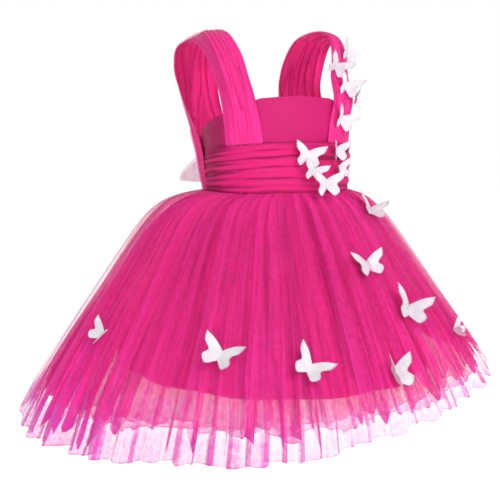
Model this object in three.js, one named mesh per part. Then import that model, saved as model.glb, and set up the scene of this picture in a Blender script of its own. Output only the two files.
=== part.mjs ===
// Toddler party dress: satin bodice, gathered tulle straps, ruched sash, satin underskirt, two tulle
// skirts, a bow at the back and white cloth butterflies.
// Millimetres, +Z up, front towards -Y, the wearer's left towards +X.
// The origin lies between the shoulders, level with the tops of the straps.
import * as THREE from "three";

const DEG = Math.PI / 180;

// Driving dimensions
const SEAM = 0.3;
const SATIN = 1.5;
const TULLE = 1.2;
const WAIST = { z: -194, halfWidth: 86, halfDepth: 72 };
const SASH = { frontTop: -134, sideTop: -146, creases: 6, depth: 2.2, drift: 0.25, off: 0.4, strapRoom: 0.6 };
const BUTTERFLY = { span: 49, wall: 1, clearance: 0.6, probes: 8 };
const RAY = { near: 60, far: 600 };

// Half width and half depths of the body inside the bodice at each height
const BODY = [
  { z: -194, halfWidth: 86, front: 72, back: 72 },
  { z: -150, halfWidth: 88, front: 72.5, back: 76 },
  { z: -118, halfWidth: 91, front: 73, back: 79 },
  { z: -76, halfWidth: 95, front: 71, back: 83 },
];

// Top edge of the bodice: height at each angle from the front centre
const TOP_EDGE = [
  { angle: 0, z: -79.5 },
  { angle: 27, z: -83 },
  { angle: 57, z: -100 },
  { angle: 90, z: -118 },
  { angle: 120, z: -121 },
  { angle: 180, z: -121 },
];

// Skirt layers: where each starts beside the waist seam, how it flares and sets back, the depth over
// which both ease in, its folds, its share of the broad waves, and its hem
const SKIRTS = [
  {
    name: "skirt_lining",
    color: 0xd8307c,
    roughness: 0.45,
    start: -1.3,
    slope: 0.475,
    flare: 12,
    shift: 25,
    ease: 20,
    folds: 12,
    columnsPerFold: 4,
    foldDepth: 5,
    wave: 0,
    hem: -402,
    dip: 17,
    lowest: 0,
    jag: 1,
    wall: 1.2,
  },
  {
    name: "skirt_tulle_short",
    color: 0xe03487,
    roughness: 0.8,
    start: 0.2,
    slope: 0.665,
    flare: 27,
    shift: 38,
    ease: 17,
    folds: 48,
    columnsPerFold: 2,
    foldDepth: 5,
    wave: 1,
    hem: -421,
    dip: 22,
    lowest: -50,
    jag: 3,
    wall: 1.2,
  },
  {
    name: "skirt_tulle_long",
    color: 0xe12a7c,
    roughness: 0.8,
    start: 1.7,
    slope: 0.665,
    flare: 43,
    shift: 40,
    ease: 11,
    folds: 60,
    columnsPerFold: 3,
    foldDepth: 7,
    wave: 1,
    hem: -434,
    dip: 40,
    lowest: -62,
    jag: 6,
    wall: 1.2,
  },
];
const HEM_TURN = { from: 170, rate: 0.0009 };
const ROUND_BELOW = 40;
const FULL_DEPTH = 270;
const ROWS_BELOW_WAIST = [0, 4, 12, 30];
const ROWS_TO_HEM = [0.27, 0.62, 1];

// Broad waves round the skirt, at full depth at the hem
const WAVES = [
  { count: 5, depth: 7, phase: 1.1 },
  { count: 9, depth: 4.5, phase: 2.3 },
  { count: 14, depth: 3, phase: 0.4 },
];

// Strap, wearer's left. On the body: angles of its two edges, height, distance off the body, and how
// much further its middle puffs out.
const STRAP_FRONT = [
  { inner: 27, outer: 57, z: -193.4, off: 2, puff: 0 },
  { inner: 26.6, outer: 57.4, z: -160, off: 2, puff: 0 },
  { inner: 26.5, outer: 57.7, z: -134, off: 2.1, puff: 0 },
  { inner: 28, outer: 58, z: -108, off: 2.3, puff: 0.5 },
  { inner: 30.5, outer: 59, z: -84, off: 3, puff: 2 },
];
const STRAP_BACK = [
  { inner: 153, outer: 104, z: -124, off: 7, puff: 12 },
  { inner: 152, outer: 96, z: -148, off: 4, puff: 8 },
  { inner: 151, outer: 93.5, z: -172, off: 2.6, puff: 5 },
  { inner: 151, outer: 92.5, z: -193.4, off: 2, puff: 1 },
];
// Over the shoulder: inner edge, outer edge, and how far the middle stands out from the line between
const STRAP_LOOP = [
  { xi: 52, yi: -48, zi: -58, xo: 84, yo: -18, zo: -59, crown: 7 },
  { xi: 57, yi: -38, zi: -32, xo: 87, yo: 0, zo: -35, crown: 8 },
  { xi: 62, yi: -16, zi: -11, xo: 91, yo: 26, zo: -19, crown: 7 },
  { xi: 62, yi: 14, zi: -2, xo: 95, yo: 50, zo: -14, crown: 4 },
  { xi: 58, yi: 44, zi: -3, xo: 100, yo: 71, zo: -16, crown: 4 },
  { xi: 52, yi: 76, zi: -12, xo: 103, yo: 89, zo: -25, crown: 6 },
  { xi: 47, yi: 98, zi: -34, xo: 101, yo: 100, zo: -48, crown: 8 },
  { xi: 43, yi: 106, zi: -60, xo: 96, yo: 95, zo: -70, crown: 14 },
  { xi: 41, yi: 101, zi: -86, xo: 94, yo: 76, zo: -91, crown: 20 },
  { xi: 40, yi: 89, zi: -106, xo: 94, yo: 48, zo: -108, crown: 22 },
];
const STRAP = { columns: 10, rows: 25, fold: 1.3, flatTo: 0.14, foldedFrom: 0.22 };
// Angles from the front centre over which a strap lies under the sash, with the sash easing over it
const UNDER_SASH = { from: 16, fullFrom: 24, fullTo: 61, to: 72 };

// Back bow: knot at the centre back, two drooping loops
const BOW = {
  knot: { y: 84.6, z: -166, width: 26, height: 36, depth: 16 },
  loop: {
    start: 13.3,
    startY: 91.6,
    reach: 98,
    tipY: 114,
    tipZ: -173,
    knotHeight: 30,
    tipHeight: 52,
    gap: 24,
    corner: 35,
  },
  columns: 20,
  rows: 4,
};

// Butterflies down the left strap: place along and across the strap, the angle from the front centre
// that each faces, turn, lift of the wings, size
const STRAP_BUTTERFLIES = [
  { along: 0.342, across: 0.55, face: 22, turn: -24, lift: 28, size: 0.8 },
  { along: 0.305, across: 0.12, face: 0, turn: -32, lift: 32, size: 0.8 },
  { along: 0.255, across: 0.4, face: 8, turn: -20, lift: 34, size: 0.85 },
  { along: 0.222, across: 0.75, face: 35, turn: -28, lift: 44, size: 0.65 },
  { along: 0.167, across: 0.4, face: 14, turn: -24, lift: 36, size: 0.85 },
];
// At the waist: angle from the front centre and height on the sash
const WAIST_BUTTERFLIES = [
  { angle: 8, z: -149, face: -6, turn: -12, lift: 28, size: 0.92 },
  { angle: 33, z: -145, face: 26, turn: -2, lift: 38, size: 0.78 },
  { angle: 11, z: -168, face: 0, turn: -16, lift: 24, size: 0.72 },
  { angle: 21, z: -182.5, face: 2, turn: 0, lift: 30, size: 0.95 },
  { angle: 37, z: -168, face: 30, turn: 20, lift: 42, size: 0.72 },
];
// Over the skirt: angle from the front centre and height
const SKIRT_BUTTERFLIES = [
  { angle: 44, z: -221, face: 24, turn: -30, lift: 30, size: 0.95 },
  { angle: 20.5, z: -276, face: 6, turn: 6, lift: 26, size: 1 },
  { angle: 29.5, z: -328, face: 14, turn: -28, lift: 34, size: 1.25 },
  { angle: 48, z: -364, face: 48, turn: 40, lift: 55, size: 0.75 },
  { angle: -71, z: -358, face: -64, turn: -30, lift: 42, size: 0.85 },
  { angle: -31, z: -364, face: -24, turn: -24, lift: 26, size: 1.1 },
  { angle: -9, z: -377, face: 0, turn: -42, lift: 28, size: 1.08 },
  { angle: 15, z: -388, face: 30, turn: -4, lift: 50, size: 1.18 },
];

const part = new THREE.Group();

// A fixed scatter between 0 and 1, so that repeated folds differ
function scatter(k, seed) {
  const value = Math.sin(k * 12.9898 + seed * 78.233) * 43758.5453;
  return value - Math.floor(value);
}

function between(rows, key, at, column) {
  const sign = Math.sign(rows[rows.length - 1][key] - rows[0][key]);
  let k = 0;
  while (k < rows.length - 2 && sign * (at - rows[k + 1][key]) > 0) k++;
  const share = (at - rows[k][key]) / (rows[k + 1][key] - rows[k][key]);
  return THREE.MathUtils.lerp(rows[k][column], rows[k + 1][column], THREE.MathUtils.clamp(share, 0, 1));
}

// Point on the body, at an angle from the front centre, a height and a distance off it
function onBody(angle, z, off) {
  const halfWidth = between(BODY, "z", z, "halfWidth") + off;
  const depth = between(BODY, "z", z, Math.abs(angle) < 90 ? "front" : "back") + off;
  return new THREE.Vector3(halfWidth * Math.sin(angle * DEG), -depth * Math.cos(angle * DEG), z);
}

// A closed wall over a grid of points: two faces and the edges between them
function clothWall(name, look, grid) {
  const { columns, rows, ring, inside, outside } = grid;
  const across = ring ? columns : columns + 1;
  const at = (face, i, j) => (face * (rows + 1) + j) * across + (i % across);
  const points = [];
  for (const p of [...inside.flat(), ...outside.flat()]) points.push(p.x, p.y, p.z);
  const index = [];
  const quad = (a, b, c, d) => index.push(a, b, c, a, c, d);
  for (let i = 0; i < columns; i++) {
    for (let j = 0; j < rows; j++) {
      quad(at(1, i, j), at(1, i, j + 1), at(1, i + 1, j + 1), at(1, i + 1, j));
      quad(at(0, i, j), at(0, i + 1, j), at(0, i + 1, j + 1), at(0, i, j + 1));
    }
    quad(at(0, i, 0), at(1, i, 0), at(1, i + 1, 0), at(0, i + 1, 0));
    quad(at(0, i, rows), at(0, i + 1, rows), at(1, i + 1, rows), at(1, i, rows));
  }
  for (let j = 0; j < rows && !ring; j++) {
    quad(at(0, 0, j), at(0, 0, j + 1), at(1, 0, j + 1), at(1, 0, j));
    quad(at(0, columns, j), at(1, columns, j), at(1, columns, j + 1), at(0, columns, j + 1));
  }
  return solid(name, look, points, index);
}

function signedVolume(points, index) {
  const v = (k) => new THREE.Vector3().fromArray(points, 3 * index[k]);
  let sum = 0;
  for (let k = 0; k < index.length; k += 3) sum += v(k).dot(v(k + 1).cross(v(k + 2)));
  return sum / 6;
}

function solid(name, look, points, index) {
  if (signedVolume(points, index) < 0) index.reverse();
  const geometry = new THREE.BufferGeometry();
  geometry.setAttribute("position", new THREE.BufferAttribute(new Float32Array(points), 3));
  geometry.setIndex(index);
  geometry.computeVertexNormals();
  const mesh = new THREE.Mesh(geometry, new THREE.MeshStandardMaterial({ metalness: 0, ...look }));
  mesh.name = name;
  part.add(mesh);
  return mesh;
}

// The grid moved along its own normals; side is +1 or -1
function moved(grid, distance, side, ring) {
  const last = grid.length - 1;
  return grid.map((row, j) =>
    row.map((p, i) => {
      const n = row.length;
      const before = ring ? row[(i + n - 1) % n] : row[Math.max(i - 1, 0)];
      const after = ring ? row[(i + 1) % n] : row[Math.min(i + 1, n - 1)];
      const along = after.clone().sub(before);
      const down = grid[Math.min(j + 1, last)][i].clone().sub(grid[Math.max(j - 1, 0)][i]);
      return p.clone().addScaledVector(down.cross(along).normalize(), side * distance);
    }),
  );
}

function mirrored(grid) {
  return grid.map((row) => row.map((p) => new THREE.Vector3(-p.x, p.y, p.z)));
}

const SATIN_LOOK = { color: 0xde337f, roughness: 0.45 };
const TULLE_LOOK = { color: 0xe33481, roughness: 0.8 };
const BOW_LOOK = { color: 0xf1b5d3, roughness: 0.85 };
const WHITE_LOOK = { color: 0xf4ecf1, roughness: 0.6 };

// Bodice panel between two angles, from the waist seam to its top edge
function bodicePanel(name, from, to, columns) {
  const rows = 4;
  const face = (off) =>
    Array.from({ length: rows + 1 }, (_, j) =>
      Array.from({ length: columns + 1 }, (_, i) => {
        const angle = THREE.MathUtils.lerp(from, to, i / columns);
        const top = between(TOP_EDGE, "angle", Math.abs(angle), "z");
        return onBody(angle, THREE.MathUtils.lerp(top, WAIST.z + SEAM / 2, j / rows), off);
      }),
    );
  clothWall(name, SATIN_LOOK, { columns, rows, inside: face(0), outside: face(SATIN) });
}

function bodice() {
  const seam = SEAM / 2 / WAIST.halfWidth / DEG;
  bodicePanel("bodice_front", -90 + seam, 90 - seam, 24);
  bodicePanel("bodice_back_left", 90 + seam, 180 - seam, 12);
  bodicePanel("bodice_back_right", -180 + seam, -90 - seam, 12);
}

// Points across a strap at one station: inner edge, middle, outer edge
function strapStations() {
  const onPanel = ({ inner, outer, z, off, puff }) => [
    onBody(inner, z, off),
    onBody((inner + outer) / 2, z, off + puff),
    onBody(outer, z, off),
  ];
  const free = STRAP_LOOP.map((s) => [
    new THREE.Vector3(s.xi, s.yi, s.zi),
    new THREE.Vector3((s.xi + s.xo) / 2, (s.yi + s.yo) / 2, (s.zi + s.zo) / 2),
    new THREE.Vector3(s.xo, s.yo, s.zo),
  ]);
  free.forEach((station, k) => {
    const before = free[Math.max(k - 1, 0)][1];
    const after = free[Math.min(k + 1, free.length - 1)][1];
    const across = station[2].clone().sub(station[0]);
    const out = across.cross(after.clone().sub(before)).normalize();
    station.push(out.multiplyScalar(STRAP_LOOP[k].crown));
  });
  free.forEach((station) => station[1].add(station.pop()));
  return [...STRAP_FRONT.map(onPanel), ...free, ...STRAP_BACK.map(onPanel)];
}

function strapLines() {
  const stations = strapStations();
  return [0, 1, 2].map((k) => new THREE.CatmullRomCurve3(stations.map((s) => s[k]), false, "centripetal"));
}

// Point of the smooth strap: along it from the front waist, and across it from its inner edge
function strapPoint(lines, along, across) {
  const [inner, middle, outer] = lines.map((line) => line.getPoint(along));
  const p = inner.multiplyScalar((1 - across) * (1 - 2 * across));
  p.addScaledVector(middle, 4 * across * (1 - across));
  return p.addScaledVector(outer, across * (2 * across - 1));
}

// Both faces of the left strap, with lengthwise folds that fade where it lies under the sash
function strapGrid() {
  const lines = strapLines();
  const smooth = Array.from({ length: STRAP.rows + 1 }, (_, j) =>
    Array.from({ length: STRAP.columns + 1 }, (_, i) => strapPoint(lines, j / STRAP.rows, i / STRAP.columns)),
  );
  const raised = moved(smooth, STRAP.fold, -1, false);
  const folded = smooth.map((row, j) => {
    const fade = THREE.MathUtils.smoothstep(j / STRAP.rows, STRAP.flatTo, STRAP.foldedFrom);
    const ease = fade * (1 - 0.6 * THREE.MathUtils.smoothstep(j / STRAP.rows, 0.85, 1));
    return row.map((p, i) => p.clone().lerp(raised[j][i], i % 2 ? ease * (0.7 + 0.6 * scatter(i, 3)) : 0));
  });
  return { inside: folded, outside: moved(folded, TULLE, -1, false) };
}

function straps() {
  const { inside, outside } = strapGrid();
  const size = { columns: STRAP.columns, rows: STRAP.rows };
  clothWall("strap_right", TULLE_LOOK, { ...size, inside: mirrored(inside), outside: mirrored(outside) });
  return clothWall("strap_left", TULLE_LOOK, { ...size, inside, outside });
}

// How far a sash point lies off the body: more where a strap runs underneath
function sashOffset(angle) {
  const a = Math.abs(angle);
  const { smoothstep } = THREE.MathUtils;
  const under = UNDER_SASH;
  const over = smoothstep(a, under.from, under.fullFrom) * (1 - smoothstep(a, under.fullTo, under.to));
  return SATIN + SASH.off + (TULLE + SASH.strapRoom) * over;
}

// Ruched sash: creases run round it and close up at the side seams
function sash() {
  const columns = 26;
  const rows = 2 * SASH.creases;
  const limit = 90 - SEAM / WAIST.halfWidth / DEG;
  const face = (raise) =>
    Array.from({ length: rows + 1 }, (_, j) =>
      Array.from({ length: columns + 1 }, (_, i) => {
        const angle = THREE.MathUtils.lerp(-limit, limit, i / columns);
        const top = THREE.MathUtils.lerp(SASH.frontTop, SASH.sideTop, (Math.abs(angle) / 90) ** 2);
        const drift = SASH.drift * Math.sin(3 * angle * DEG + j) * (j > 0 && j < rows ? 1 : 0);
        const z = THREE.MathUtils.lerp(top, WAIST.z + SEAM, (j + drift) / rows);
        const crest = j % 2 ? SASH.depth * (0.6 + 0.5 * scatter(j, 7)) : 0;
        return onBody(angle, z, sashOffset(angle) + raise * (TULLE + crest));
      }),
    );
  return clothWall("sash_front", TULLE_LOOK, { columns, rows, inside: face(0), outside: face(1) });
}

// Distance out of the waist seam, and set-back, at a depth below it
function skirtSection(skirt, depth) {
  const turned = HEM_TURN.rate * Math.max(0, depth - HEM_TURN.from) ** 2;
  const out = skirt.start + skirt.slope * depth + skirt.flare * (1 - Math.exp(-depth / skirt.ease)) - turned;
  const narrower = (WAIST.halfWidth - WAIST.halfDepth) * Math.exp(-depth / ROUND_BELOW);
  return {
    halfWidth: WAIST.halfWidth + out,
    halfDepth: WAIST.halfWidth + out - narrower,
    back: skirt.shift * (1 - Math.exp(-depth / skirt.ease)),
  };
}

function waveDepth(angle) {
  return WAVES.reduce((sum, w) => sum + w.depth * Math.cos(w.count * angle + w.phase), 0);
}

// One gathered skirt layer as a ring of folds that deepen towards an uneven hem
function skirtLayer(skirt, seed) {
  const columns = skirt.folds * skirt.columnsPerFold;
  const top = WAIST.z - SEAM / 2;
  const rows = ROWS_BELOW_WAIST.length + ROWS_TO_HEM.length - 1;
  const column = Array.from({ length: columns }, (_, i) => {
    const fold = Math.floor(i / skirt.columnsPerFold);
    const place = i % skirt.columnsPerFold;
    const angle = ((i + 0.5 * (scatter(i, seed) - 0.5)) / columns) * 2 * Math.PI;
    const ridge = Math.cos((place / skirt.columnsPerFold) * 2 * Math.PI);
    const hem = skirt.hem - skirt.dip * Math.cos(angle - skirt.lowest * DEG);
    const jag = skirt.jag * (Math.sin(11 * angle + seed) + 2 * scatter(fold, seed + 1) - 1);
    return { angle, hem: hem + jag, ridge: ridge * (0.45 + 0.75 * scatter(fold, seed + 2)) };
  });
  const inside = Array.from({ length: rows + 1 }, (_, j) =>
    column.map(({ angle, hem, ridge }) => {
      const fixed = ROWS_BELOW_WAIST[Math.min(j, ROWS_BELOW_WAIST.length - 1)];
      const share = j < ROWS_BELOW_WAIST.length ? 0 : ROWS_TO_HEM[j - ROWS_BELOW_WAIST.length];
      const depth = THREE.MathUtils.lerp(fixed, top - hem, share);
      const { halfWidth, halfDepth, back } = skirtSection(skirt, depth);
      const grown = depth / FULL_DEPTH;
      const out = ridge * skirt.foldDepth * grown + skirt.wave * waveDepth(angle) * grown;
      return new THREE.Vector3(
        (halfWidth + out) * Math.sin(angle),
        back - (halfDepth + out) * Math.cos(angle),
        top - depth,
      );
    }),
  );
  const outside = moved(inside, skirt.wall, 1, true);
  outside[0] = inside[0].map((p) => {
    const out = new THREE.Vector3(p.x / WAIST.halfWidth ** 2, p.y / WAIST.halfDepth ** 2, 0).normalize();
    return p.clone().addScaledVector(out, skirt.wall);
  });
  const look = { color: skirt.color, roughness: skirt.roughness };
  return clothWall(skirt.name, look, { columns, rows, ring: true, inside, outside });
}

const LOOP_TURN = 160;
const LOOP_START = (1 + Math.cos(LOOP_TURN * DEG)) / 2;

// One bow loop: a strip that runs out from the knot, turns at the tip and comes back behind
function bowLoop(name, side) {
  const { knot, loop, columns, rows } = BOW;
  const inside = Array.from({ length: rows + 1 }, (_, j) =>
    Array.from({ length: columns + 1 }, (_, i) => {
      const turn = THREE.MathUtils.lerp(-LOOP_TURN, LOOP_TURN, i / columns) * DEG;
      const out = (1 + Math.cos(turn)) / 2;
      const half = THREE.MathUtils.lerp(loop.knotHeight, loop.tipHeight, Math.sqrt(out)) / 2;
      const x = loop.start + (loop.reach - loop.start) * (out - LOOP_START);
      const y = THREE.MathUtils.lerp(loop.startY, loop.tipY, out) + (loop.gap / 2) * Math.sin(turn);
      const up = 1 - (2 * j) / rows;
      const droop = loop.corner * out ** 3 * ((up + 1) / 2);
      const z = THREE.MathUtils.lerp(knot.z, loop.tipZ, out ** 1.5) + half * up - droop;
      return new THREE.Vector3(side * x, y, z);
    }),
  );
  const outside = moved(inside, TULLE, side, false);
  return clothWall(name, BOW_LOOK, { columns, rows, inside, outside });
}

// Knot: a soft barrel at the centre back
function bowKnot() {
  const { knot } = BOW;
  const geometry = new THREE.SphereGeometry(1, 12, 8);
  const position = geometry.getAttribute("position");
  const points = [];
  const squared = (v) => Math.sign(v) * Math.abs(v) ** 0.7;
  for (let k = 0; k < position.count; k++) {
    points.push((squared(position.getX(k)) * knot.width) / 2);
    points.push(knot.y + (squared(position.getZ(k)) * knot.depth) / 2);
    points.push(knot.z + (squared(position.getY(k)) * knot.height) / 2);
  }
  return solid("bow_knot", BOW_LOOK, points, Array.from(geometry.getIndex().array));
}

// Outline of one butterfly wing, from the head end of the body round to its tail, for a span of 49
const WING = [
  { out: 0, up: 5 },
  { out: 12, up: 13.5 },
  { out: 24.5, up: 16 },
  { out: 22, up: 6 },
  { out: 14, up: -1 },
  { out: 17, up: -9 },
  { out: 10, up: -15 },
  { out: 0, up: -6 },
];

const WING_REACH = Math.max(...WING.map((p) => p.out));

// Points of a butterfly's lower face round both wings, then along its body
function butterflyPoints({ lift, size }) {
  const right = WING.slice(1, -1);
  const left = right.map((p) => ({ ...p, out: -p.out })).reverse();
  const rim = [WING[0], ...right, WING[WING.length - 1], ...left];
  const scale = (size * BUTTERFLY.span) / (2 * WING_REACH);
  const place = ({ out, up }) =>
    new THREE.Vector3(
      out * scale * Math.cos(lift * DEG),
      up * scale,
      Math.abs(out) * scale * Math.sin(lift * DEG),
    );
  return { rim: rim.map(place), spine: [WING[0], { out: 0, up: 0 }, WING[WING.length - 1]].map(place) };
}

// Lay a butterfly on the cloth below it, seen along the normal, just clear of the highest point it meets
function butterfly(name, on, base, normal, row) {
  const { rim, spine } = butterflyPoints(row);
  const upward = new THREE.Vector3(0, 0, 1).addScaledVector(normal, -normal.z).normalize();
  const sideways = upward.clone().cross(normal);
  const frame = new THREE.Matrix4().makeBasis(sideways, upward, normal);
  frame.multiply(new THREE.Matrix4().makeRotationZ(row.turn * DEG)).setPosition(base);
  const lower = [...rim, spine[1]].map((p) => p.clone().applyMatrix4(frame));
  const caster = new THREE.Raycaster();
  const middle = lower[lower.length - 1];
  const probes = [];
  rim.forEach((_, k) => {
    for (let a = 0; a <= BUTTERFLY.probes; a++) {
      const edge = lower[k].clone().lerp(lower[(k + 1) % rim.length], a / BUTTERFLY.probes);
      for (let b = 0; b <= BUTTERFLY.probes; b++) {
        probes.push(edge.clone().lerp(middle, b / BUTTERFLY.probes));
      }
    }
  });
  let rise = -Infinity;
  for (const p of probes) {
    caster.set(p.clone().addScaledVector(normal, RAY.near), normal.clone().negate());
    const hit = caster.intersectObjects(on, false)[0];
    if (hit) rise = Math.max(rise, hit.point.sub(p).dot(normal));
  }
  rise += BUTTERFLY.clearance;
  const points = [];
  for (const up of [0, BUTTERFLY.wall]) {
    for (const p of lower) {
      const q = p.clone().addScaledVector(normal, rise + up);
      points.push(q.x, q.y, q.z);
    }
  }
  const n = rim.length;
  const index = [];
  for (let k = 0; k < n; k++) {
    const next = (k + 1) % n;
    index.push(k, n, next, n + 1 + k, n + 1 + next, 2 * n + 1);
    index.push(k, next, n + 1 + next, k, n + 1 + next, n + 1 + k);
  }
  return solid(name, WHITE_LOOK, points, index);
}

// Where a level line towards the skirt's centre first meets a mesh
function surfaceAt(mesh, centre, direction) {
  const caster = new THREE.Raycaster();
  const start = centre.clone().addScaledVector(direction, RAY.far);
  caster.set(start, direction.clone().negate());
  return caster.intersectObject(mesh, false)[0].point;
}

function bodyDirection(angle) {
  return new THREE.Vector3(Math.sin(angle * DEG), -Math.cos(angle * DEG), 0);
}

function butterflies(strap, sashMesh, skirtMesh) {
  const lines = strapLines();
  const laid = [];
  STRAP_BUTTERFLIES.forEach((row, k) => {
    const base = strapPoint(lines, row.along, row.across);
    laid.push(butterfly("butterfly_strap_" + (k + 1), [strap, ...laid], base, bodyDirection(row.face), row));
  });
  WAIST_BUTTERFLIES.forEach((row, k) => {
    const base = onBody(row.angle, row.z, 0);
    const below = [sashMesh, strap, ...laid];
    laid.push(butterfly("butterfly_waist_" + (k + 1), below, base, bodyDirection(row.face), row));
  });
  SKIRT_BUTTERFLIES.forEach((row, k) => {
    const level = new THREE.Vector3(0, SKIRTS[2].shift, row.z);
    const base = surfaceAt(skirtMesh, level, bodyDirection(row.angle));
    const depth = WAIST.z - row.z;
    const steep = SKIRTS[2].slope + (SKIRTS[2].flare / SKIRTS[2].ease) * Math.exp(-depth / SKIRTS[2].ease);
    const normal = bodyDirection(row.face).setZ(steep).normalize();
    butterfly("butterfly_skirt_" + (k + 1), [skirtMesh], base, normal, row);
  });
}

bodice();
const strapMesh = straps();
const sashMesh = sash();
const skirtMeshes = SKIRTS.map(skirtLayer);
bowLoop("bow_loop_left", 1);
bowLoop("bow_loop_right", -1);
bowKnot();
butterflies(strapMesh, sashMesh, skirtMeshes[2]);

export default part;
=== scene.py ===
import math

import bpy
import numpy as np
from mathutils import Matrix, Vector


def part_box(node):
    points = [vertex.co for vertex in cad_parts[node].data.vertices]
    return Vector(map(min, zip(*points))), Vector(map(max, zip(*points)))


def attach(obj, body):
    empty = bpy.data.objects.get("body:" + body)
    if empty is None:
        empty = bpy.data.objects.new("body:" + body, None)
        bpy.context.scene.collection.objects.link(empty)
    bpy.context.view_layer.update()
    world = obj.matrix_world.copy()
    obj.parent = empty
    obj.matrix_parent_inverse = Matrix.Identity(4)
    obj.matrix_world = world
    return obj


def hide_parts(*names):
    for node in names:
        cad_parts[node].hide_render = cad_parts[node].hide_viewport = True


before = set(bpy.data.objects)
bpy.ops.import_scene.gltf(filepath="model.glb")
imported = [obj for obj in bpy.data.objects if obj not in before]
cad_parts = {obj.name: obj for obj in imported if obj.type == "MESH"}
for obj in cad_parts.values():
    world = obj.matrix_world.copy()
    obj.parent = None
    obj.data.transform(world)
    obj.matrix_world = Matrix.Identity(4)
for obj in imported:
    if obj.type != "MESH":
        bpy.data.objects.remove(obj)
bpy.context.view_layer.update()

# Toddler party dress: thin cloth on the solids of the frame, sewing, butterflies, camera and light.
# Tables and lengths are millimetres, +Z up, front towards -Y, the wearer's left towards +X.
# Angles of the body and the skirt are degrees from the front centre, positive towards +X.

MM = 0.001
TINY = 1e-9


def table(keys, *rows):
    """Rows of a table as dictionaries; keys: the names of its columns."""
    return [dict(zip(keys.split(), row)) for row in rows]


# Waist seam, thickness of the satin wall, gap at every seam
WAIST = {"z": -194, "half_width": 86, "half_depth": 72}
SATIN = 1.5
SEAM = 0.3
# Sash: heights of its top edge, distance off the body, extra room over the ends of the straps
SASH = {"front_top": -134, "side_top": -146, "off": 2.1, "strap_room": 1.8}
# Angles between which a strap runs under the sash
UNDER_SASH = {"from": 16, "full_from": 24, "full_to": 61, "to": 72}

# Half width and half depths of the body inside the bodice at each height
BODY = table(
    "z half_width front back",
    (-194, 86, 72, 72), (-150, 88, 72.5, 76), (-118, 91, 73, 79), (-76, 95, 71, 83),
)
# Top edge of the bodice
TOP_EDGE = table(
    "angle z",
    (0, -79.5), (27, -83), (57, -100), (90, -118), (120, -121), (180, -121),
)
# Left strap on the body: angles of its edges, height, distance off the body, puff of its middle
STRAP_FRONT = table(
    "inner outer z off puff",
    (27, 57, -193.4, 2, 0),
    (26.6, 57.4, -160, 2, 0),
    (26.5, 57.7, -134, 2.1, 0),
    (28, 58, -108, 2.3, 0.5),
    (30.5, 59, -84, 3, 2),
)
STRAP_BACK = table(
    "inner outer z off puff",
    (153, 104, -124, 7, 12),
    (152, 96, -148, 4, 8),
    (151, 93.5, -172, 2.6, 5),
    (151, 92.5, -193.4, 2, 1),
)
# Left strap over the shoulder: its inner edge, its outer edge and the crown of its middle
STRAP_LOOP = table(
    "inner outer crown",
    ((52, -48, -58), (84, -18, -59), 7),
    ((57, -38, -32), (87, 0, -35), 8),
    ((62, -16, -11), (91, 26, -19), 7),
    ((62, 14, -2), (95, 50, -14), 4),
    ((58, 44, -3), (100, 71, -16), 4),
    ((52, 76, -12), (103, 89, -25), 6),
    ((47, 98, -34), (101, 100, -48), 8),
    ((43, 106, -60), (96, 95, -70), 14),
    ((41, 101, -86), (94, 76, -91), 20),
    ((40, 89, -106), (94, 48, -108), 22),
)
# Skirt solids: start beside the waist seam, slope, flare, set-back, depth over which both ease in; then
# the middle height of the hem, how far it dips below that, and the angle where it hangs lowest
LINING, SHORT, LONG = table(
    "start slope flare shift ease hem dip lowest",
    (-0.6, 0.475, 12, 25, 20, -402, 17, 0),
    (1.2, 0.665, 27, 38, 17, -421, 22, -50),
    (2.6, 0.665, 43, 40, 11, -434, 40, -62),
)
# The skirt turns in again below this depth
HEM_TURN = {"from": 170, "rate": 0.0009}
# Depth over which the oval of the waist grows round
ROUND_BELOW = 40
# Depth at which waves and folds are full
FULL_DEPTH = 270
# Broad waves round the tulle
WAVES = table(
    "count depth phase",
    (5, 7, 1.1), (9, 4.5, 2.3), (14, 3, 0.4),
)


# Helpers for numbers

# Factors of the fixed scatter
SCATTER = {"number": 12.9898, "seed": 78.233, "spread": 43758.5453}


def scatter(k, seed):
    """A fixed scatter between 0 and 1."""
    value = np.sin(np.asarray(k, float) * SCATTER["number"] + seed * SCATTER["seed"]) * SCATTER["spread"]
    return value - np.floor(value)


def noise(x, seed, period=None):
    """Smooth noise from -1 to 1 along x; it repeats after period whole steps."""
    x = np.asarray(x, float)
    k = np.floor(x)
    f = x - k
    a, b = (k, k + 1) if period is None else (k % period, (k + 1) % period)
    first = scatter(a, seed)
    second = scatter(b, seed)
    return 2 * (first + (second - first) * f * f * (3 - 2 * f)) - 1


def ring_noise(turn, count, seed):
    """Smooth noise that changes count times in one turn and closes on itself."""
    return noise(turn * count, seed, count)


def smoothstep(x, low, high):
    """A soft step from 0 at low to 1 at high."""
    t = np.clip((np.asarray(x, float) - low) / (high - low), 0, 1)
    return t * t * (3 - 2 * t)


def mix(a, b, t):
    return a + (b - a) * t


def column(rows, key):
    return [row[key] for row in rows]


def stack(x, y, z):
    return np.stack(np.broadcast_arrays(x, y, z), -1)


def unit(v):
    return v / np.maximum(np.linalg.norm(v, axis=-1, keepdims=True), TINY)


def normals(grid):
    """Unit normals of a grid of points, from its rows crossed with its columns."""
    return unit(np.cross(np.gradient(grid, axis=1), np.gradient(grid, axis=0)))


def on_body(angle, z, off):
    """Points on the body at an angle from the front centre, a height and a distance off it."""
    heights = column(BODY, "z")
    keys = ("front", "back", "half_width")
    front, back, half_width = (np.interp(z, heights, column(BODY, key)) + off for key in keys)
    depth = np.where(np.abs(angle) < 90, front, back)
    a = np.radians(angle)
    return stack(half_width * np.sin(a), -depth * np.cos(a), z)


# Helpers for meshes

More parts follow.
